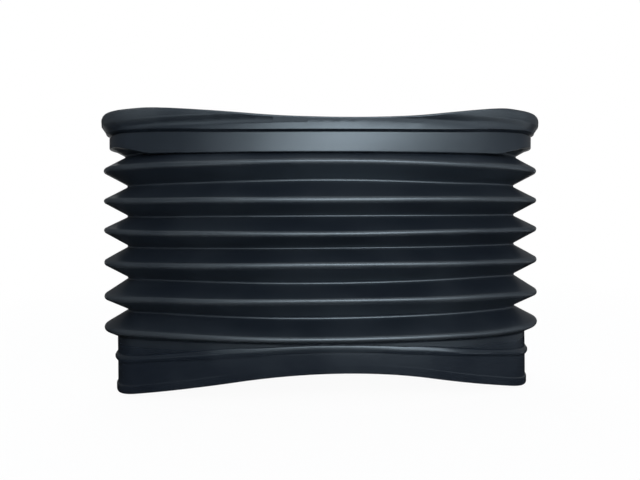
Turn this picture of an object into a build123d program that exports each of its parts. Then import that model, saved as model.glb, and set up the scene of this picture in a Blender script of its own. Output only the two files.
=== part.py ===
from build123d import *
import os
from math import asin, atan, atan2, cos, degrees, hypot, radians, sin, tan

# Oblong rubber bellows boot: six folds between a flared sealing lip on top and a clamp
# collar below. The plan is an oval of four tangent arcs, long along X. Both end rims
# are saddles: the lip dips, and the lower rim arches, at the middle of each long wall.
# Millimetres, +Z up, origin under the middle of the boot, on the surface it stands on.
# A setback is measured inwards from the oval over the fold crests.

# Plan over the fold crests
CREST_LENGTH = 400.0
CREST_DEPTH = 160.0
END_ARC_RADIUS = 50.0

# Folds
FOLD_COUNT = 6
FOLD_PITCH = 28.2
FOLD_DEPTH = 19.7
FOLD_WALL = 2.8
CREST_RADIUS = 3.0
ROOT_RADIUS = 1.5
LOWEST_CREST_HEIGHT = 58.0

# Clamp collar under the folds
COLLAR_SETBACK = 10.8
COLLAR_WALL = 4.0
NECK_RADIUS = 1.5
CLIP_BEAD_HEIGHT = 27.5
CLIP_BEAD_RISE = 14.2
CLIP_BEAD_WIDTH = 7.5
CLIP_BEAD_PROJECTION = 1.3
BEAD_EDGE_RADIUS = 0.9
RIM_RISE = 28.5
RIM_BEAD_WIDTH = 8.0
RIM_BEAD_PROJECTION = 1.4
RIM_EDGE_RADIUS = 2.5

# Upper collar, with the skirt that hangs over the topmost root along the long walls.
# Its heights at the ends are counted up from the shoulder over the topmost root.
TOP_ROOT_DEPTH = 17.6
TOP_COLLAR_SETBACK = 4.6
SHOULDER_RADIUS = 3.0
SKIRT_OVERLAP = 1.4
SKIRT_DROP = 9.3
SKIRT_SAG = 3.7
SKIRT_CROWN = 60.0
SKIRT_SPAN = 300.0
SKIRT_KNEE = 184.0
SKIRT_KNEE_RADIUS = 40.0
SKIRT_EDGE_RADIUS = 1.0

# Groove that parts the upper collar from the lip
GROOVE_RISE = 8.6
GROOVE_DROP = 7.4
GROOVE_WIDTH = 3.0
GROOVE_DEPTH = 2.0
GROOVE_EDGE_RADIUS = 1.7

# Flared sealing lip, rolled in at its mouth and trimmed there
LIP_FOOT_RISE = 5.0
LIP_WALL = 4.0
LIP_FOOT_RADIUS = 8.5
LIP_FLARE_HEIGHT = 5.6
LIP_OVERHANG = 2.0
LIP_ROLL_RADIUS = 6.4
LIP_ROLL_RISE = 9.9
LIP_MOUTH_SETBACK = 8.0
LIP_TRIM = 1.5
LIP_DROP = 13.0
LIP_EDGE_RADIUS = 1.2

# Saddle curves in side elevation: a round crown, two straight ramps and level ends
RIM_CROWN = 80.0
RIM_KNEE = 186.0
RIM_KNEE_RADIUS = 60.0
BEAD_CROWN = 105.0
BEAD_KNEE = 178.0
LIP_CROWN = 75.0
LIP_KNEE = 152.0
LIP_KNEE_RADIUS = 150.0

# How far cutting shapes run past the boot, and how near counts as touching
OVERRUN = 10.0
TOUCH = 0.01

# Sines of the slopes that an edge round the boot, and a face of a rim, stay under
EDGE_SLOPE = 0.7
RIM_SLOPE = 0.3

# Arc centres of the plan, from tangency between the end arcs and the side arcs
half_depth = CREST_DEPTH / 2
end_centre = CREST_LENGTH / 2 - END_ARC_RADIUS
side_arc_radius = (end_centre**2 + half_depth**2 - END_ARC_RADIUS**2) / (
    2 * (half_depth - END_ARC_RADIUS)
)
side_centre = side_arc_radius - half_depth
side_half_angle = degrees(atan2(end_centre, side_centre))
end_half_angle = 90 - side_half_angle
# Each arc of the plan: centre, radius, middle direction and half angle
plan_arcs = [
    ((end_centre, 0), END_ARC_RADIUS, 0, end_half_angle),
    ((0, -side_centre), side_arc_radius, 90, side_half_angle),
    ((-end_centre, 0), END_ARC_RADIUS, 180, end_half_angle),
    ((0, side_centre), side_arc_radius, 270, side_half_angle),
]

# A flank is the inner tangent of a crest arc and a root arc
arc_run = FOLD_DEPTH - CREST_RADIUS - ROOT_RADIUS
flank_angle = atan2(FOLD_PITCH / 2, arc_run) - asin(
    (CREST_RADIUS + ROOT_RADIUS) / hypot(arc_run, FOLD_PITCH / 2)
)
flank_slope = tan(flank_angle)
sharp_excess = 1 / sin(flank_angle) - 1
crest_apex = CREST_RADIUS * sharp_excess
root_apex = -FOLD_DEPTH - ROOT_RADIUS * sharp_excess
top_root_apex = -TOP_ROOT_DEPTH - ROOT_RADIUS * sharp_excess
top_crest_height = LOWEST_CREST_HEIGHT + (FOLD_COUNT - 1) * FOLD_PITCH
top_root_height = top_crest_height + (crest_apex - top_root_apex) * flank_slope

# Heights at the ends, up from the shoulder
shoulder_height = top_root_height - (TOP_COLLAR_SETBACK + top_root_apex) * flank_slope
groove_height = shoulder_height + GROOVE_RISE
lip_foot_height = groove_height + LIP_FOOT_RISE
lip_roll_height = lip_foot_height + LIP_FLARE_HEIGHT + LIP_ROLL_RISE
lip_height = lip_roll_height - LIP_TRIM


def wall_corners(fold_shift, collar_wall, crest_radius, root_radius):
    """Corners (offset, height, radius) of one side of the wall, rim to shoulder."""
    collar = -COLLAR_SETBACK - collar_wall
    neck_height = LOWEST_CREST_HEIGHT - (crest_apex - fold_shift - collar) * flank_slope
    corners = [(collar, -OVERRUN, 0), (collar, neck_height, NECK_RADIUS)]
    for fold in range(FOLD_COUNT):
        crest_height = LOWEST_CREST_HEIGHT + fold * FOLD_PITCH
        corners.append((crest_apex - fold_shift, crest_height, crest_radius))
        if fold < FOLD_COUNT - 1:
            root_height = crest_height + FOLD_PITCH / 2
            corners.append((root_apex - fold_shift, root_height, root_radius))
    corners.append((top_root_apex - fold_shift, top_root_height, root_radius))
    top_collar = -TOP_COLLAR_SETBACK - collar_wall
    shoulder_rise = (top_collar - top_root_apex + fold_shift) * flank_slope
    corners.append((top_collar, top_root_height + shoulder_rise, SHOULDER_RADIUS))
    return corners


def lip_corners(wall, foot_radius):
    """Corners (offset, height, radius) of one side of the lip, foot to mouth."""
    flare_angle = atan2(LIP_OVERHANG + TOP_COLLAR_SETBACK, LIP_FLARE_HEIGHT)
    foot_height = lip_foot_height + wall * tan(flare_angle / 2)
    roll_radius = LIP_ROLL_RADIUS - wall
    roll_height = lip_roll_height - wall
    return [
        (-TOP_COLLAR_SETBACK - wall, foot_height, foot_radius),
        (LIP_OVERHANG - wall, foot_height + LIP_FLARE_HEIGHT, roll_radius),
        (LIP_OVERHANG - wall, roll_height, roll_radius),
        (-LIP_MOUTH_SETBACK, roll_height, 0),
    ]


def rounded_face(corners):
    """Closed face through corners given as (x, y, radius)."""
    outline = FilletPolyline(
        *[(x, y) for x, y, _ in corners],
        radius=[radius for _, _, radius in corners],
        close=True,
    )
    return make_face(outline)


def wall_section():
    """Section of the whole wall, drawn outwards from the crest oval."""
    outside = wall_corners(0, 0, CREST_RADIUS, ROOT_RADIUS)
    outside += lip_corners(0, LIP_FOOT_RADIUS)
    fold_shift = FOLD_WALL / sin(flank_angle)
    inside = wall_corners(fold_shift, COLLAR_WALL, 0, ROOT_RADIUS + FOLD_WALL)
    inside += lip_corners(LIP_WALL, LIP_FOOT_RADIUS + LIP_WALL)
    return rounded_face(outside + inside[::-1])


def carried_round(section):
    """Solid of a section carried round the oval, by revolving it about each arc's centre."""
    arcs = []
    for (x, y), radius, middle, half_angle in plan_arcs:
        start = radians(middle - half_angle)
        outward = (cos(start), sin(start), 0)
        plane = Plane(origin=(x, y, 0), x_dir=outward, z_dir=(sin(start), -cos(start), 0))
        placed = plane * Pos(radius, 0) * section
        arcs.append(revolve(placed, Axis((x, y, 0), (0, 0, 1)), 2 * half_angle))
    return arcs[0].fuse(*arcs[1:])


def oval_ring(outer_offset, inner_offset):
    """Upright ring between two offsets of the crest oval, taller than the boot."""
    ovals = [
        make_face(
            [
                CenterArc(centre, radius + offset, middle - half_angle, 2 * half_angle)
                for centre, radius, middle, half_angle in plan_arcs
            ]
        )
        for offset in (outer_offset, inner_offset)
    ]
    ring = ovals[0] - ovals[1]
    return extrude(Pos(0, 0, -OVERRUN) * ring, lip_roll_height + 2 * OVERRUN)


def saddle_curve(end_height, rise, crown, knee, knee_radius):
    """Corners of a saddle curve in side elevation, from -X to +X."""
    slope = rise / (knee - crown / 2)
    reach = CREST_LENGTH / 2 + OVERRUN
    return [
        (-reach, end_height, 0),
        (-knee, end_height, knee_radius),
        (0, end_height + knee * slope, crown / sin(atan(abs(slope)))),
        (knee, end_height, knee_radius),
        (reach, end_height, 0),
    ]


def between(lower_curve, upper_curve):
    """Everything between two saddle curves, through the whole depth of the boot."""
    face = rounded_face(lower_curve + upper_curve[::-1])
    return extrude(Plane.XZ * face, CREST_DEPTH, both=True)


def saddle_band(ring, end_height, width, rise):
    """Part of a ring between a collar's saddle curve and the same curve raised."""
    lower = saddle_curve(end_height, rise, BEAD_CROWN, BEAD_KNEE, RIM_KNEE_RADIUS)
    upper = saddle_curve(end_height + width, rise, BEAD_CROWN, BEAD_KNEE, RIM_KNEE_RADIUS)
    return ring & between(lower, upper)


def rim_curve(height):
    """The arch of the lower rim, raised by a height."""
    return saddle_curve(height, RIM_RISE, RIM_CROWN, RIM_KNEE, RIM_KNEE_RADIUS)


def skirt_curve(end_height):
    """The skirt's lower edge: a slight sag over its span, then up to the shoulder."""
    reach = CREST_LENGTH / 2 + OVERRUN
    side_height = end_height - SKIRT_DROP
    slope = 2 * SKIRT_SAG / SKIRT_SPAN
    return [
        (-reach, end_height, 0),
        (-SKIRT_KNEE, end_height, SKIRT_KNEE_RADIUS),
        (-SKIRT_SPAN / 2, side_height, SKIRT_KNEE_RADIUS),
        (0, side_height - SKIRT_SAG, SKIRT_CROWN / sin(atan(slope))),
        (SKIRT_SPAN / 2, side_height, SKIRT_KNEE_RADIUS),
        (SKIRT_KNEE, end_height, SKIRT_KNEE_RADIUS),
        (reach, end_height, 0),
    ]


def level_line(height):
    """A level line in side elevation."""
    reach = CREST_LENGTH / 2 + OVERRUN
    return [(-reach, height, 0), (reach, height, 0)]


def lip_curve():
    """The dip of the lip's mouth."""
    return saddle_curve(lip_height, -LIP_DROP, LIP_CROWN, LIP_KNEE, LIP_KNEE_RADIUS)


def crest_offset(point):
    """How far a point lies outside the crest oval, in plan."""
    x, y = abs(point.X), abs(point.Y)
    if degrees(atan2(y, x - end_centre)) < end_half_angle:
        return hypot(x - end_centre, y) - END_ARC_RADIUS
    return hypot(x, y + side_centre) - side_arc_radius


def edges_round(shape, offset):
    """Edges that run round the boot at an offset from the crest oval."""
    return [
        edge
        for edge in shape.edges()
        if abs((edge % 0.5).Z) < EDGE_SLOPE
        and all(abs(crest_offset(edge @ place) - offset) < TOUCH for place in (0, 0.5, 1))
    ]


def rim_faces(shape, lowest, highest, facing):
    """Faces that a saddle cut left between two heights, facing up (1) or down (-1)."""
    return [
        face
        for face in shape.faces()
        if lowest < face.center().Z < highest
        and facing * face.normal_at().Z > cos(asin(RIM_SLOPE))
    ]


def outer_border(faces):
    """Edges of the longest loop round a ring of faces."""
    edges = [edge for face in faces for edge in face.edges()]
    border = [edge for edge in edges if sum(edge.is_same(other) for other in edges) == 1]
    longest = max(Wire.combine(border), key=lambda loop: loop.length)
    return [edge for edge in border if longest.distance_to(edge @ 0.5) < TOUCH]


# Wall with its folds, both collars and the lip, before the rims are cut to their saddles
boot = carried_round(wall_section())

# Beads of the clamp collar, rooted in its wall
collar_core = -COLLAR_SETBACK - COLLAR_WALL / 2
clip_bead_offset = CLIP_BEAD_PROJECTION - COLLAR_SETBACK
clip_bead = saddle_band(
    oval_ring(clip_bead_offset, collar_core), CLIP_BEAD_HEIGHT, CLIP_BEAD_WIDTH, CLIP_BEAD_RISE
)
boot += fillet(edges_round(clip_bead, clip_bead_offset), BEAD_EDGE_RADIUS)
rim_bead_offset = RIM_BEAD_PROJECTION - COLLAR_SETBACK
rim_bead = oval_ring(rim_bead_offset, collar_core) & between(
    rim_curve(-OVERRUN / 2), rim_curve(RIM_BEAD_WIDTH)
)
boot += fillet(edges_round(rim_bead, rim_bead_offset), BEAD_EDGE_RADIUS)

# Skirt: the topmost root filled flush with the upper collar, above a curve that sags
# slightly along the long walls and rises to the shoulder near the ends
flank_height = top_crest_height + (TOP_COLLAR_SETBACK + crest_apex) * flank_slope
root_filling = carried_round(
    rounded_face(
        [
            (-TOP_COLLAR_SETBACK, flank_height - FOLD_WALL / 2, 0),
            (-TOP_COLLAR_SETBACK, shoulder_height + SHOULDER_RADIUS, 0),
            (top_root_apex, top_root_height, 0),
        ]
    )
)
skirt_height = shoulder_height - SKIRT_OVERLAP
skirt = root_filling & between(skirt_curve(skirt_height), level_line(lip_roll_height))
lower_edges = edges_round(skirt, -TOP_COLLAR_SETBACK)
lower_edges = [edge for edge in lower_edges if edge.center().Z < skirt_height + TOUCH]
boot += fillet(lower_edges, SKIRT_EDGE_RADIUS)

# Groove between the upper collar and the lip, with the collar's edge rounded
groove_ring = oval_ring(OVERRUN, -TOP_COLLAR_SETBACK - GROOVE_DEPTH)
boot -= saddle_band(groove_ring, groove_height, GROOVE_WIDTH, -GROOVE_DROP)
ledge = rim_faces(boot, groove_height - GROOVE_DROP - TOUCH, groove_height + TOUCH, 1)
boot = fillet(outer_border(ledge), GROOVE_EDGE_RADIUS)

# Both rims cut to their saddles, with their outer edges rounded
boot &= between(rim_curve(0), lip_curve())
mouth = rim_faces(boot, groove_height + GROOVE_WIDTH, lip_height + TOUCH, 1)
boot = fillet(outer_border(mouth), LIP_EDGE_RADIUS)
rim = rim_faces(boot, -TOUCH, RIM_RISE, -1)
boot = fillet(outer_border(rim), RIM_EDGE_RADIUS)

os.makedirs("parts", exist_ok=True)
export_step(boot, "parts/bellows_boot.step")
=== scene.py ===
"""Black moulded rubber bellows boot on a pale studio floor.

The boot is made from its CAD solid. Here its folds wander a little from level, as a soft
moulding's do, its collars get their softer forms, and it gets its rubber finish. Lengths are in
metres, with +Z up and the boot's length along X.
"""

import logging
import math
from dataclasses import dataclass
from enum import Enum
from typing import Any

import bpy
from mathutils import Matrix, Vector


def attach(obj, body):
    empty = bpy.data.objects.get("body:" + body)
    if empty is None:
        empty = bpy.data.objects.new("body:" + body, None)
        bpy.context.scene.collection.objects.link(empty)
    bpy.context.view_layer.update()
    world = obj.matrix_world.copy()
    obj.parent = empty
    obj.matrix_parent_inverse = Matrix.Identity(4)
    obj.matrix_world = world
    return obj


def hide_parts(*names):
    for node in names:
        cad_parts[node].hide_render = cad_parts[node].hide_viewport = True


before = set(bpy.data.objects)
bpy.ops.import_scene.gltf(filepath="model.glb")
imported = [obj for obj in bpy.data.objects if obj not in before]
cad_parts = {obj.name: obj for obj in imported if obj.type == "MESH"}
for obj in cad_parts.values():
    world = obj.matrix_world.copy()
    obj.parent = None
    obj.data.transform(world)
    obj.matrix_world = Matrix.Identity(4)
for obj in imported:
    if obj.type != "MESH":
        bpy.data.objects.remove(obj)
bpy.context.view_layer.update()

log = logging.getLogger("bellows_boot")

Colour = tuple[float, float, float]
PerAxis = tuple[float, float, float]
FOLD_DEPTH = "fold_depth"


class Ray(Enum):
    """Kinds of ray that see the plain white surroundings."""

    CAMERA = "Is Camera Ray"
    GLOSSY = "Is Glossy Ray"
    TRANSMISSION = "Is Transmission Ray"


class CardTurn(Enum):
    """Ways to turn a card: lying flat, or standing across the view or along it."""

    FLAT = (0.0, 0.0, 0.0)
    FRONT = (math.pi / 2, 0.0, 0.0)
    SIDE = (math.pi / 2, 0.0, math.pi / 2)


class Sum:
    """A socket in a shader, with arithmetic that adds the nodes for it."""

    def __init__(self, book: "NodeBook", socket: Any) -> None:
        """Keeps the socket and the node book that it belongs to."""
        self.book = book
        self.socket = socket

    def _math(self, operation: str, *values: Any) -> "Sum":
        """Adds one Math node.

        Args:
            operation: the node's operation.
            values: numbers or sums, in socket order.

        Returns:
            The node's result.
        """
        return self.book.add("ShaderNodeMath", {"operation": operation}, dict(enumerate(values)))

    def __add__(self, other: Any) -> "Sum":
        """self + other."""
        return self._math("ADD", self, other)

    __radd__ = __add__

    def __sub__(self, other: Any) -> "Sum":
        """self - other."""
        return self._math("SUBTRACT", self, other)

    def __rsub__(self, other: Any) -> "Sum":
        """other - self."""
        return self._math("SUBTRACT", other, self)

    def __mul__(self, other: Any) -> "Sum":
        """self * other."""
        return self._math("MULTIPLY", self, other)

    __rmul__ = __mul__

    def either(self, other: Any) -> "Sum":
        """The larger of two values."""
        return self._math("MAXIMUM", self, other)

    def ramp(self, start: float, end: float) -> "Sum":
        """Smooth step of this value.

        Args:
            start: where the step is 0.
            end: where the step is 1.

        Returns:
            The step.
        """
        settings = {"interpolation_type": "SMOOTHSTEP"}
        limits = {"Value": self, "From Min": start, "From Max": end}
        return self.book.add("ShaderNodeMapRange", settings, limits)


class NodeBook:
    """The node tree of one material or world."""

    def __init__(self, owner: Any) -> None:
        """Empties the owner's node tree.

        Args:
            owner: a material or a world.
        """
        owner.use_nodes = True
        self.tree = owner.node_tree
        self.tree.nodes.clear()

    def add(
        self, kind: str, settings: dict[str, Any], inputs: dict[Any, Any], output: Any = 0
    ) -> Sum:
        """Adds one node.

        Args:
            kind: the node's type.
            settings: properties of the node, set before its sockets.
            inputs: a number, colour or Sum for each input, by name or place.
            output: name or place of the output wanted.

        Returns:
            That output, ready for arithmetic.
        """
        node = self.tree.nodes.new(kind)
        for name, value in settings.items():
            setattr(node, name, value)
        for name, value in inputs.items():
            if isinstance(value, Sum):
                self.tree.links.new(value.socket, node.inputs[name])
            else:
                node.inputs[name].default_value = value
        return Sum(self, node.outputs[output] if len(node.outputs) else None)

    def blend(self, share: Sum, low: Any, high: Any) -> Sum:
        """Mixes two colours.

        Args:
            share: 0 for the low colour, 1 for the high one.
            low: colour or Sum.
            high: colour or Sum.

        Returns:
            The mixed colour.
        """
        colours = [value if isinstance(value, Sum) else (*value, 1.0) for value in (low, high)]
        mixed = {"Factor": share, 6: colours[0], 7: colours[1]}
        return self.add("ShaderNodeMix", {"data_type": "RGBA"}, mixed, 2)

    def seen_by(self, rays: type[Ray]) -> Sum:
        """1 for any of the kinds of ray, 0 for others."""
        kinds = [self.add("ShaderNodeLightPath", {}, {}, ray.value) for ray in rays]
        return kinds[0].either(kinds[1]).either(kinds[2])


@dataclass(frozen=True)
class MouldedRubber:
    """Black rubber, glossier on the clamp collar, matt on the lip, rubbed paler on the crests."""

    deep: Colour = (0.0052, 0.0076, 0.0123)
    bloomed: Colour = (0.0097, 0.0130, 0.0183)
    rubbed: Colour = (0.0170, 0.0205, 0.0250)
    sheen_tint: Colour = (0.72, 0.88, 1.0)
    specular: float = 1.0
    roughness: float = 0.35
    collar_roughness: float = 0.22
    collar_top: float = 0.048
    collar_blend: float = 0.006
    lip_roughness: float = 0.48
    lip_start: float = 0.236
    roughness_spread: float = 0.08
    grain_detail: float = 2.0
    grain_size: float = 0.0009
    grain_height: float = 0.00004
    patch_detail: float = 4.0
    patch_size: float = 0.055
    bloom_start: float = 0.35
    bloom_full: float = 0.7
    rub_start: float = 0.2
    rub_full: float = 0.6
    rub_depth: float = 0.0035

    def material(self) -> bpy.types.Material:
        """Builds the rubber.

        Returns:
            The material, reading Object coordinates and the boot's fold depth.
        """
        rubber = bpy.data.materials.new("moulded_rubber")
        book = NodeBook(rubber)
        place = book.add("ShaderNodeTexCoord", {}, {}, "Object")
        depth = book.add("ShaderNodeAttribute", {"attribute_name": FOLD_DEPTH}, {}, "Fac")
        patches = self._noise(book, place, self.patch_size, self.patch_detail)
        grain = self._noise(book, place, self.grain_size, self.grain_detail)
        bloom = patches.ramp(self.bloom_start, self.bloom_full)
        on_crest = 1 - depth.ramp(0.0, self.rub_depth)
        rub = on_crest * patches.ramp(self.rub_start, self.rub_full)
        colour = book.blend(bloom, self.deep, self.bloomed)
        colour = book.blend(rub, colour, self.rubbed)
        roughness = self._base_roughness(book, place) + self.roughness_spread * (patches - 0.5)
        relief = book.add(
            "ShaderNodeBump", {}, {"Height": grain, "Distance": self.grain_height, "Strength": 1.0}
        )
        skin = book.add(
            "ShaderNodeBsdfPrincipled",
            {},
            {
                "Base Color": colour,
                "Roughness": roughness,
                "Specular IOR Level": self.specular,
                "Specular Tint": (*self.sheen_tint, 1.0),
                "Normal": relief,
            },
        )
        book.add("ShaderNodeOutputMaterial", {}, {"Surface": skin})
        return rubber

    def _noise(self, book: NodeBook, place: Sum, size: float, detail: float) -> Sum:
        """Adds noise of one size, from 0 to 1."""
        inputs = {"Vector": place, "Scale": 1 / size, "Detail": detail}
        return book.add("ShaderNodeTexNoise", {}, inputs)

    def _base_roughness(self, book: NodeBook, place: Sum) -> Sum:
        """Adds the roughness of the clamp collar, the folds and the lip, one over another.

        Args:
            book: the rubber's node book.
            place: the Object coordinates.

        Returns:
            The roughness, before it varies from patch to patch.
        """
        height = book.add("ShaderNodeSeparateXYZ", {}, {"Vector": place}, "Z")
        folds = height.ramp(self.collar_top - self.collar_blend, self.collar_top)
        lip = height.ramp(self.lip_start, self.lip_start + self.collar_blend)
        roughness = self.collar_roughness + (self.roughness - self.collar_roughness) * folds
        return roughness + (self.lip_roughness - self.roughness) * lip


@dataclass(frozen=True)
class PaleFloorPaint:
    """Matt white paint that reads as plain white and still takes a soft shadow."""

    colour: Colour = (0.86, 0.87, 0.88)
    plain_share: float = 0.94
    fade_start: float = 0.30
    fade_end: float = 1.00

    def material(self) -> bpy.types.Material:
        """Builds the paint.

        Returns:
            The material.
        """
        paint = bpy.data.materials.new("pale_floor_paint")
        book = NodeBook(paint)
        matt = book.add("ShaderNodeBsdfDiffuse", {}, {"Color": (*self.colour, 1.0)})
        plain = book.add("ShaderNodeEmission", {}, {"Color": (1.0, 1.0, 1.0, 1.0), "Strength": 1.0})
        place = book.add("ShaderNodeTexCoord", {}, {}, "Object")
        reach = book.add("ShaderNodeVectorMath", {"operation": "LENGTH"}, {0: place}, "Value")
        fade = reach.ramp(self.fade_start, self.fade_end)
        share = book.seen_by(Ray) * (self.plain_share + (1 - self.plain_share) * fade)
        painted = book.add("ShaderNodeMixShader", {}, {"Fac": share, 1: matt, 2: plain})
        book.add("ShaderNodeOutputMaterial", {}, {"Surface": painted})
        return paint


@dataclass(frozen=True)
class Sway:
    """How far one level of the boot strays from where it was moulded, in millimetres."""

    left_end: float = 0.0
    left_turn: float = 0.0
    middle: float = 0.0
    right_turn: float = 0.0
    right_end: float = 0.0
    middle_slide: float = 0.0
    turn_place: float = 0.75

    def lift(self, place: float) -> float:
        """Lift at a place along the boot.

        Args:
            place: -1 at the left end, 1 at the right end.

        Returns:
            The lift in metres.
        """
        turn, end = (
            (self.left_turn, self.left_end) if place < 0 else (self.right_turn, self.right_end)
        )
        if abs(place) > self.turn_place:
            share = (abs(place) - self.turn_place) / (1 - self.turn_place)
            return (turn + (end - turn) * share) / 1000
        share = math.cos(math.pi / 2 * place / self.turn_place) ** 2
        return (turn + (self.middle - turn) * share) / 1000

    def slide(self, place: float) -> float:
        """Slide to the right at a place along the boot, in metres."""
        return self.middle_slide * math.cos(math.pi / 2 * place) ** 2 / 1000


@dataclass(frozen=True)
class Saddle:
    """A curve that rises from its level ends over a round crown at mid length."""

    end_height: float
    rise: float
    crown: float
    knee: float

    def height(self, x: float) -> float:
        """Height of the curve at a place along the boot.

        Args:
            x: distance along the boot from mid length, in metres.

        Returns:
            The height in metres.
        """
        slope = self.rise / (self.knee - self.crown / 2)
        reach = min(abs(x), self.knee)
        if reach < self.crown:
            return self.end_height + self.rise - slope * reach**2 / (2 * self.crown)
        return self.end_height + self.rise - slope * (reach - self.crown / 2)


@dataclass(frozen=True)
class Spot:
    """A vertex of the solid, and how it lies in the boot's plan.

    The setback is how far it lies inside the oval over the fold crests, and outward is the level
    direction out of that oval.
    """

    place: Vector
    outward: Vector
    setback: float
    faces_out: bool


@dataclass(frozen=True)
class CollarBeads:
    """The clamp collar's round clip bead, its rim bead that fades at mid length, and its neck."""

    clip: Saddle = Saddle(end_height=0.0275, rise=0.0142, crown=0.105, knee=0.178)
    rim: Saddle = Saddle(end_height=0.0, rise=0.0285, crown=0.080, knee=0.186)
    clip_width: float = 0.0075
    clip_projection: float = 0.0013
    rim_width: float = 0.008
    wall_setback: float = 0.0108
    clip_cuts: int = 2
    foot_lift: float = 0.0004
    top_lift: float = -0.0006
    roundness: float = 0.0020
    middle_foot_lift: float = 0.0026
    middle_roundness: float = 0.0006
    middle_reach: float = 0.1
    flank_lift: float = 0.0020
    flank_place: float = 0.13
    flank_reach: float = 0.07
    edge_left: float = 0.25
    neck_lift: float = 0.0030
    neck_reach: float = 0.19
    neck_foot: float = 0.038
    neck_full: float = 0.046
    neck_still_full: float = 0.0515
    neck_top: float = 0.057
    rim_edge: float = 0.0009
    rim_projection: float = 0.0014
    rim_fade_power: int = 4
    half_length: float = 0.2
    tolerance: float = 0.0001

    def moved(self, spot: Spot) -> Vector:
        """Where a vertex of the solid ends up.

        Args:
            spot: the vertex.

        Returns:
            The vertex's new place.
        """
        proud = self.wall_setback - spot.setback
        above_rim = spot.place.z - self.rim.height(spot.place.x)
        if proud > -self.tolerance and above_rim < self.rim_width + self.tolerance:
            return self._on_rim_bead(spot, proud, above_rim)
        place = spot.place + Vector((0, 0, self._neck_lift(spot.place)))
        if self.on_clip_bead(spot):
            place += self._clip_bead_move(spot, proud)
        return place

    def on_clip_bead(self, spot: Spot) -> bool:
        """Whether a vertex of the solid lies on the clip bead.

        Args:
            spot: the vertex.

        Returns:
            True on the bead.
        """
        proud = self.wall_setback - spot.setback
        rise = spot.place.z - self.clip.height(spot.place.x)
        return (
            -self.tolerance < proud < self.clip_projection + self.tolerance
            and -self.tolerance < rise < self.clip_width + self.tolerance
        )

    def _on_rim_bead(self, spot: Spot, proud: float, above_rim: float) -> Vector:
        """Where a vertex of the rim bead ends up, level with the wall at mid length.

        Args:
            spot: the vertex.
            proud: how far it stands out from the collar's wall.
            above_rim: its height over the rim.

        Returns:
            The vertex's new place.
        """
        gone = 1 - min((abs(spot.place.x) / self.half_length) ** self.rim_fade_power, 1.0)
        place = spot.place
        edge = self.rim_width - above_rim
        if edge < self.rim_edge + self.tolerance:
            drop = proud * self.rim_edge / self.rim_projection - edge
            place = place - Vector((0, 0, drop * gone))
        return place - spot.outward * proud * gone

    def _clip_bead_move(self, spot: Spot, proud: float) -> Vector:
        """How a vertex of the clip bead moves, besides the neck's lift.

        Args:
            spot: the vertex.
            proud: how far it stands out from the collar's wall.

        Returns:
            The move.
        """
        x = spot.place.x
        rise = (spot.place.z - self.clip.height(x)) / self.clip_width
        rise = max(0.0, min(1.0, rise))
        middle = max(0.0, 1 - (x / self.middle_reach) ** 2)
        foot = self.foot_lift + (self.middle_foot_lift - self.foot_lift) * middle
        flank = 1 - ((abs(x) - self.flank_place) / self.flank_reach) ** 2
        lift = foot + (self.top_lift - foot) * rise + self.flank_lift * max(0.0, flank)
        bulge = self.roundness + (self.middle_roundness - self.roundness) * middle
        arc = 4 * rise * (1 - rise)
        push = bulge * arc - (1 - self.edge_left) * proud
        return spot.outward * push + Vector((0, 0, lift))

    def _neck_lift(self, place: Vector) -> float:
        """How far the neck over the clip bead is lifted, most at mid length.

        Args:
            place: the vertex's place.

        Returns:
            The lift in metres.
        """
        above_foot = (place.z - self.neck_foot) / (self.neck_full - self.neck_foot)
        below_top = (self.neck_top - place.z) / (self.neck_top - self.neck_still_full)
        along = max(0.0, 1 - (place.x / self.neck_reach) ** 2)
        return self.neck_lift * along * max(0.0, min(above_foot, below_top, 1.0))


@dataclass(frozen=True)
class LipFoot:
    """The foot of the lip, which stands out over the groove under a slanted edge."""

    groove: Saddle = Saddle(end_height=0.22893, rise=-0.0074, crown=0.105, knee=0.178)
    groove_height: float = 0.0030
    collar_setback: float = 0.0046
    groove_setback: float = 0.0066
    edge_radius: float = 0.0017
    slant: float = 0.65
    crispness: float = 0.88
    swell_middle: float = 0.0016
    swell_end: float = 0.0023
    swell_full: float = 0.2355
    swell_gone: float = 0.2410
    half_length: float = 0.2
    tolerance: float = 0.0001

    def moved(self, spot: Spot) -> Vector:
        """Where a vertex of the solid ends up.

        Args:
            spot: the vertex.

        Returns:
            The vertex's new place.
        """
        place = spot.place
        rise = place.z - self.groove.height(place.x)
        inside = spot.setback - self.collar_setback
        in_groove = (
            spot.setback < self.groove_setback + self.tolerance
            and -self.edge_radius - self.tolerance < rise < self.groove_height + self.tolerance
        )
        if in_groove and rise < self.tolerance:
            return place - Vector((0, 0, rise * self.crispness))
        if in_groove and inside > self.tolerance:
            share = inside / (self.groove_setback - self.collar_setback)
            return place - Vector((0, 0, rise * self.slant * min(share, 1.0)))
        if spot.faces_out and rise > self.groove_height - self.tolerance:
            share = abs(place.x) / self.half_length
            swell = self.swell_middle + (self.swell_end - self.swell_middle) * share**2
            fade = (self.swell_gone - place.z) / (self.swell_gone - self.swell_full)
            return place + spot.outward * swell * max(0.0, min(1.0, fade))
        return place


@dataclass(frozen=True)
class SkirtGap:
    """The gap behind the upper collar's skirt, which is shallower along the long walls."""

    foot: float = 0.1995
    top: float = 0.2165
    open_setback: float = 0.0070
    depth_kept: float = 0.25
    full_reach: float = 0.12
    end_reach: float = 0.165

    def moved(self, spot: Spot) -> Vector:
        """Where a vertex of the solid ends up.

        Args:
            spot: the vertex.

        Returns:
            The vertex's new place.
        """
        place, depth = spot.place, spot.setback - self.open_setback
        if not spot.faces_out or depth < 0 or place.z <= self.foot:
            return place
        share = (self.end_reach - abs(place.x)) / (self.end_reach - self.full_reach)
        return place + spot.outward * depth * (1 - self.depth_kept) * max(0.0, min(1.0, share))


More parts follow.
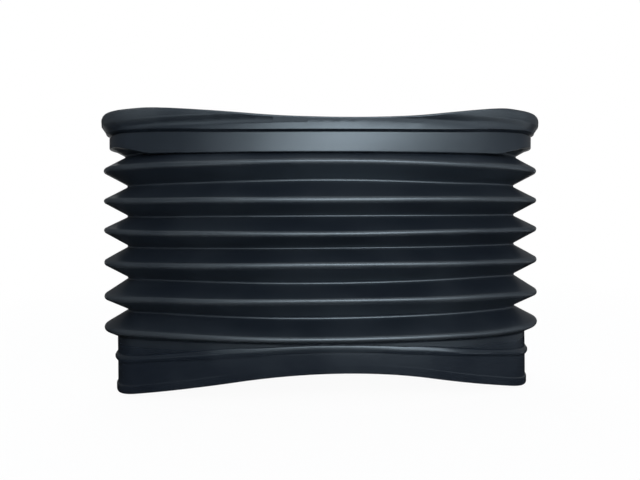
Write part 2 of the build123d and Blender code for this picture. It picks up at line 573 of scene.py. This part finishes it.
@dataclass
class BellowsBoot:
    """The boot itself: one moulding, with the plan and fold heights of its solid."""

    crest_depth: float = 0.160
    end_arc_radius: float = 0.050
    end_centre: float = 0.150
    side_arc_radius: float = 0.440
    fold_pitch: float = 0.0282
    lowest_crest: float = 0.058
    levels_under_folds: int = 2
    lattice_reach: float = 0.205
    lattice_columns: int = 9
    merge_distance: float = 0.00001
    crease_angle: float = math.radians(32)
    even_weight: int = 50
    lip_foot: LipFoot = LipFoot()
    skirt_gap: SkirtGap = SkirtGap()
    collar_beads: CollarBeads = CollarBeads()
    # From the lower rim up, a fold pitch apart, each from the left end to the right end
    sways: tuple[Sway, ...] = (
        Sway(middle_slide=8.0),
        Sway(middle_slide=8.0),
        Sway(0.4, 1.0, 0.2, -1.6, 1.0),
        Sway(-0.6, 1.2, 2.6, 0.8, -1.0),
        Sway(1.6, 1.6, 2.8, 1.4, 0.8),
        Sway(2.2, 0.2, -0.9, 0.2, 0.8),
        Sway(-0.1, -1.2, -2.1, -1.4, -1.4),
        Sway(-1.8, -0.4, 0.4, -1.4, -3.1),
        Sway(-2.6, -0.6, 0.6, -0.6, -2.6, middle_slide=16.0),
        Sway(-1.0, -0.75, -2.9, -0.75, -2.6, middle_slide=24.0),
    )
    # Of the roots over those levels, on top of the middle between the levels on both sides
    root_sways: tuple[Sway, ...] = (
        Sway(),
        Sway(),
        Sway(middle=-1.2),
        Sway(middle=-2.0),
        Sway(middle=0.3),
        Sway(middle=1.2),
        Sway(middle=2.0),
        Sway(),
        Sway(),
    )

    def make(self, node: bpy.types.Object) -> bpy.types.Object:
        """Makes the boot from its solid.

        Args:
            node: the CAD node that it stands for.

        Returns:
            The finished piece, without its material.
        """
        boot = self._merged_copy(node)
        self._cut_clip_bead_finer(boot)
        self._mark_fold_depth(boot)
        self._shape_collars(boot)
        self._let_folds_wander(boot)
        self._smooth(boot)
        return boot

    def _merged_copy(self, node: bpy.types.Object) -> bpy.types.Object:
        """Copies the solid's mesh and joins its loose triangles.

        Args:
            node: the CAD node.

        Returns:
            The copy.
        """
        bpy.ops.object.select_all(action="DESELECT")
        boot = node.copy()
        boot.data = node.data.copy()
        boot.name = boot.data.name = "moulded_boot"
        boot.parent = None
        for key in list(boot.keys()):
            del boot[key]
        bpy.context.scene.collection.objects.link(boot)
        boot.select_set(True)
        bpy.context.view_layer.objects.active = boot
        bpy.ops.mesh.customdata_custom_splitnormals_clear()
        bpy.ops.object.mode_set(mode="EDIT")
        bpy.ops.mesh.select_all(action="SELECT")
        bpy.ops.mesh.remove_doubles(threshold=self.merge_distance)
        bpy.ops.object.mode_set(mode="OBJECT")
        return boot

    def _spot(self, vertex: bpy.types.MeshVertex) -> Spot:
        """Finds how a vertex lies in the plan: on an end arc or on a side arc.

        Args:
            vertex: a vertex of the boot.

        Returns:
            What the collars' forms need to know of it.
        """
        place = vertex.co
        side_centre = self.side_arc_radius - self.crest_depth / 2
        if (abs(place.x) - self.end_centre) * side_centre > abs(place.y) * self.end_centre:
            radius = self.end_arc_radius
            arm = Vector((place.x - math.copysign(self.end_centre, place.x), place.y, 0))
        else:
            radius = self.side_arc_radius
            arm = Vector((place.x, place.y + math.copysign(side_centre, place.y), 0))
        outward = arm.normalized()
        return Spot(place, outward, radius - arm.length, vertex.normal.dot(outward) > 0)

    def _cut_clip_bead_finer(self, boot: bpy.types.Object) -> None:
        """Cuts the clip bead's flat face into rows, so that it can be rounded.

        Args:
            boot: the piece.
        """
        bead = [
            vertex.co.z < self.lowest_crest and self.collar_beads.on_clip_bead(self._spot(vertex))
            for vertex in boot.data.vertices
        ]
        bpy.ops.object.mode_set(mode="EDIT")
        bpy.ops.mesh.select_mode(type="FACE")
        bpy.ops.mesh.select_all(action="DESELECT")
        bpy.ops.object.mode_set(mode="OBJECT")
        for face in boot.data.polygons:
            face.select = all(bead[index] for index in face.vertices)
        bpy.ops.object.mode_set(mode="EDIT")
        bpy.ops.mesh.subdivide(number_cuts=self.collar_beads.clip_cuts)
        bpy.ops.object.mode_set(mode="OBJECT")

    def _mark_fold_depth(self, boot: bpy.types.Object) -> None:
        """Stores each vertex's setback from the fold crests for the finish to read.

        Args:
            boot: the piece.
        """
        depths = [self._spot(vertex).setback for vertex in boot.data.vertices]
        mark = boot.data.attributes.new(FOLD_DEPTH, "FLOAT", "POINT")
        mark.data.foreach_set("value", depths)

    def _shape_collars(self, boot: bpy.types.Object) -> None:
        """Shapes the clamp collar's beads, the gap under the skirt and the lip's foot.

        Args:
            boot: the piece.
        """
        moved = []
        for vertex in boot.data.vertices:
            if vertex.co.z < self.lowest_crest:
                form = self.collar_beads
            elif vertex.co.z < self.skirt_gap.top:
                form = self.skirt_gap
            else:
                form = self.lip_foot
            moved.extend(form.moved(self._spot(vertex)))
        boot.data.vertices.foreach_set("co", moved)
        boot.data.update()

    def _let_folds_wander(self, boot: bpy.types.Object) -> None:
        """Lifts and lowers the folds a little with a lattice, most at mid length.

        Args:
            boot: the piece.
        """
        lowest = self.lowest_crest - self.levels_under_folds * self.fold_pitch
        height = (len(self.sways) - 1) * self.fold_pitch
        length = 2 * self.lattice_reach
        bpy.ops.object.select_all(action="DESELECT")
        bpy.ops.object.add(type="LATTICE", location=(0, 0, lowest + height / 2))
        cage = bpy.context.object
        cage.scale = (length, self.crest_depth, height)
        cage.data.points_u, cage.data.points_v = self.lattice_columns, 2
        cage.data.points_w = 2 * len(self.sways) - 1
        cage.data.interpolation_type_u = "KEY_CARDINAL"
        cage.data.interpolation_type_w = "KEY_CARDINAL"
        for index, point in enumerate(cage.data.points):
            place = 2 * point.co.x
            slide, lift = self._stray(index // (2 * self.lattice_columns), place)
            point.co_deform.x += slide / length
            point.co_deform.z += lift / height
        bpy.context.view_layer.update()
        bpy.context.view_layer.objects.active = boot
        wander = boot.modifiers.new("wander", "LATTICE")
        wander.object = cage
        bpy.ops.object.modifier_apply(modifier=wander.name)
        bpy.data.objects.remove(cage)

    def _stray(self, half_level: int, place: float) -> tuple[float, float]:
        """How far a place strays.

        Args:
            half_level: its level, counted in half fold pitches from the lower rim up.
            place: -1 at the left end, 1 at the right end.

        Returns:
            The slide to the right and the lift, in metres.
        """
        below, above = self.sways[half_level // 2], self.sways[(half_level + 1) // 2]
        slide = (below.slide(place) + above.slide(place)) / 2
        lift = (below.lift(place) + above.lift(place)) / 2
        if half_level % 2:
            lift += self.root_sways[half_level // 2].lift(place)
        return slide, lift

    def _smooth(self, boot: bpy.types.Object) -> None:
        """Smooths the moulded curves and keeps the cut edges crisp.

        Args:
            boot: the piece.
        """
        bpy.ops.object.select_all(action="DESELECT")
        boot.select_set(True)
        bpy.context.view_layer.objects.active = boot
        bpy.ops.object.shade_smooth_by_angle(angle=self.crease_angle)
        even = boot.modifiers.new("even", "WEIGHTED_NORMAL")
        even.mode = "FACE_AREA"
        even.weight = self.even_weight
        even.keep_sharp = True
        bpy.ops.object.modifier_apply(modifier=even.name)


@dataclass
class StudioFloor:
    """A wide round pale floor under the boot."""

    radius: float = 14.0
    drop: float = 0.0003
    sides: int = 96

    def make(self, paint: PaleFloorPaint) -> bpy.types.Object:
        """Lays and paints the floor.

        Args:
            paint: its finish.

        Returns:
            The floor.
        """
        bpy.ops.object.select_all(action="DESELECT")
        bpy.ops.mesh.primitive_circle_add(
            vertices=self.sides, radius=self.radius, fill_type="NGON", location=(0, 0, -self.drop)
        )
        floor = bpy.context.object
        floor.name = floor.data.name = "studio_floor"
        floor.data.materials.append(paint.material())
        return floor


@dataclass(frozen=True)
class Card:
    """A glowing card beside the boot, which shows only in the sheen of its rubber: a painted
    reflection, dark or bright, that is no lamp.
    """

    name: str
    place: PerAxis
    turn: CardTurn
    width: float
    height: float
    glow: float

    def make(self) -> bpy.types.Object:
        """Sets the card up, out of the camera's sight, as a painted reflection that casts no shadow
        and lights no diffuse surface.

        Returns:
            The card.
        """
        bpy.ops.object.select_all(action="DESELECT")
        bpy.ops.mesh.primitive_plane_add(size=1.0, location=self.place, rotation=self.turn.value)
        card = bpy.context.object
        card.scale = (self.width, self.height, 1)
        card.name = card.data.name = self.name
        finish = bpy.data.materials.new(self.name + "_cloth")
        book = NodeBook(finish)
        grey = (self.glow, self.glow, self.glow, 1.0)
        # Emission that paints a dark or bright reflection in the rubber's gloss
        reflection_glow = book.add("ShaderNodeEmission", {}, {"Color": grey, "Strength": 1.0})
        book.add("ShaderNodeOutputMaterial", {}, {"Surface": reflection_glow})
        card.data.materials.append(finish)
        card.visible_camera = False
        card.visible_diffuse = False
        card.visible_shadow = False
        return card


@dataclass(frozen=True)
class Softbox:
    """A rectangular lamp that faces a place on the boot, with its angles in degrees."""

    name: str
    azimuth: float
    elevation: float
    distance: float
    width: float
    height: float
    radiance: float
    target: PerAxis = (0.0, 0.0, 0.13)

    def make(self) -> bpy.types.Object:
        """Hangs the lamp.

        Returns:
            The lamp.
        """
        turn, rise = math.radians(self.azimuth), math.radians(self.elevation)
        level = math.cos(rise)
        away = Vector((math.sin(turn) * level, -math.cos(turn) * level, math.sin(rise)))
        lamp = bpy.data.lights.new(self.name, "AREA")
        lamp.shape = "RECTANGLE"
        lamp.size, lamp.size_y = self.width, self.height
        lamp.energy = self.radiance * math.pi * self.width * self.height
        holder = bpy.data.objects.new(self.name, lamp)
        holder.location = Vector(self.target) + away * self.distance
        holder.rotation_mode = "QUATERNION"
        holder.rotation_quaternion = away.to_track_quat("Z", "Y")
        bpy.context.scene.collection.objects.link(holder)
        return holder


@dataclass
class Studio:
    """The plain surroundings: a white tent, four softboxes and glowing cards, painted reflections
    that only the rubber mirrors.

    A softbox is given by its azimuth, elevation, distance, width, height and radiance, and a card
    by its place, turn, width, height and glow.
    """

    tent_light: float = 0.6
    tent_colour: Colour = (0.93, 0.96, 1.0)
    softboxes: tuple[Softbox, ...] = (
        Softbox("wide_softbox", 14.0, 20.0, 1.45, 1.9, 0.80, 3.0),
        Softbox("core_softbox", 14.0, 20.0, 1.4, 0.8, 0.70, 3.4),
        Softbox("left_softbox", -16.0, 36.0, 1.45, 0.9, 0.30, 2.6),
        Softbox("back_fill_softbox", 200.0, 50.0, 1.6, 1.2, 1.2, 1.2),
    )
    # Glowing cards seen only in the rubber's gloss: the dark ones paint dark reflections in place
    # of the white tent and floor, lip_card and right_lip_card paint bright reflections on the lip
    card_plan: tuple[Card, ...] = (
        Card("front_card", (0.0, -2.4, 2.5), CardTurn.FRONT, 10.0, 5.0, 0.02),
        Card("left_card", (-2.2, 1.2, 1.5), CardTurn.SIDE, 8.0, 4.0, 0.09),
        Card("right_card", (2.2, 1.2, 1.5), CardTurn.SIDE, 8.0, 4.0, 0.17),
        Card("floor_card", (0.0, -0.6, 0.0002), CardTurn.FLAT, 4.4, 3.6, 0.01),
        Card("lip_card", (0.25, -0.6, 0.0006), CardTurn.FLAT, 1.8, 0.6, 1.0),
        Card("right_lip_card", (0.75, -0.1, 0.0006), CardTurn.FLAT, 0.7, 0.4, 0.5),
    )

    def light(self) -> None:
        """Sets up the tent and the softboxes."""
        world = bpy.data.worlds.new("white_tent")
        bpy.context.scene.world = world
        book = NodeBook(world)
        tent = {"Color": (*self.tent_colour, 1.0), "Strength": self.tent_light}
        lit = book.add("ShaderNodeBackground", {}, tent)
        plain = book.add("ShaderNodeBackground", {}, {"Color": (1, 1, 1, 1), "Strength": 1.0})
        seen = book.add("ShaderNodeMixShader", {}, {"Fac": book.seen_by(Ray), 1: lit, 2: plain})
        book.add("ShaderNodeOutputWorld", {}, {"Surface": seen})
        for softbox in self.softboxes:
            softbox.make()

    def cards(self) -> list[bpy.types.Object]:
        """Sets up the cards, painted reflections that only the rubber mirrors.

        Returns:
            The cards.
        """
        return [card.make() for card in self.card_plan]


@dataclass
class FrontCamera:
    """Eye-level camera in front of the boot, with its angles in degrees."""

    place: PerAxis = (-0.0235, -0.470, 0.156)
    turn: float = 2.5
    roll: float = 0.35
    lens: float = 28.0
    sensor: float = 36.0
    lens_drop_rows: float = 23.8
    frame_columns: int = 640
    nearest: float = 0.01
    farthest: float = 100.0

    def make(self) -> bpy.types.Object:
        """Sets up the camera and makes it the scene's own.

        Returns:
            The camera.
        """
        data = bpy.data.cameras.new("front_camera")
        data.lens, data.sensor_width = self.lens, self.sensor
        data.shift_y = -self.lens_drop_rows / self.frame_columns
        data.clip_start, data.clip_end = self.nearest, self.farthest
        camera = bpy.data.objects.new("front_camera", data)
        camera.location = self.place
        camera.rotation_euler = (math.pi / 2, math.radians(self.roll), -math.radians(self.turn))
        bpy.context.scene.collection.objects.link(camera)
        bpy.context.scene.camera = camera
        return camera


def main() -> None:
    """Builds the boot, the studio and the camera."""
    logging.basicConfig(level=logging.INFO, format="%(name)s: %(message)s")
    bpy.context.scene.view_settings.view_transform = "Standard"
    FrontCamera().make()
    studio = Studio()
    studio.light()
    StudioFloor().make(PaleFloorPaint())
    studio.cards()
    boot = BellowsBoot().make(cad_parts["bellows_boot"])
    boot.data.materials.clear()
    boot.data.materials.append(MouldedRubber().material())
    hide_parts("bellows_boot")
    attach(boot, "root")
    log.info("%s: %d triangles", boot.name, len(boot.data.polygons))


if __name__ == "__main__":
    main()
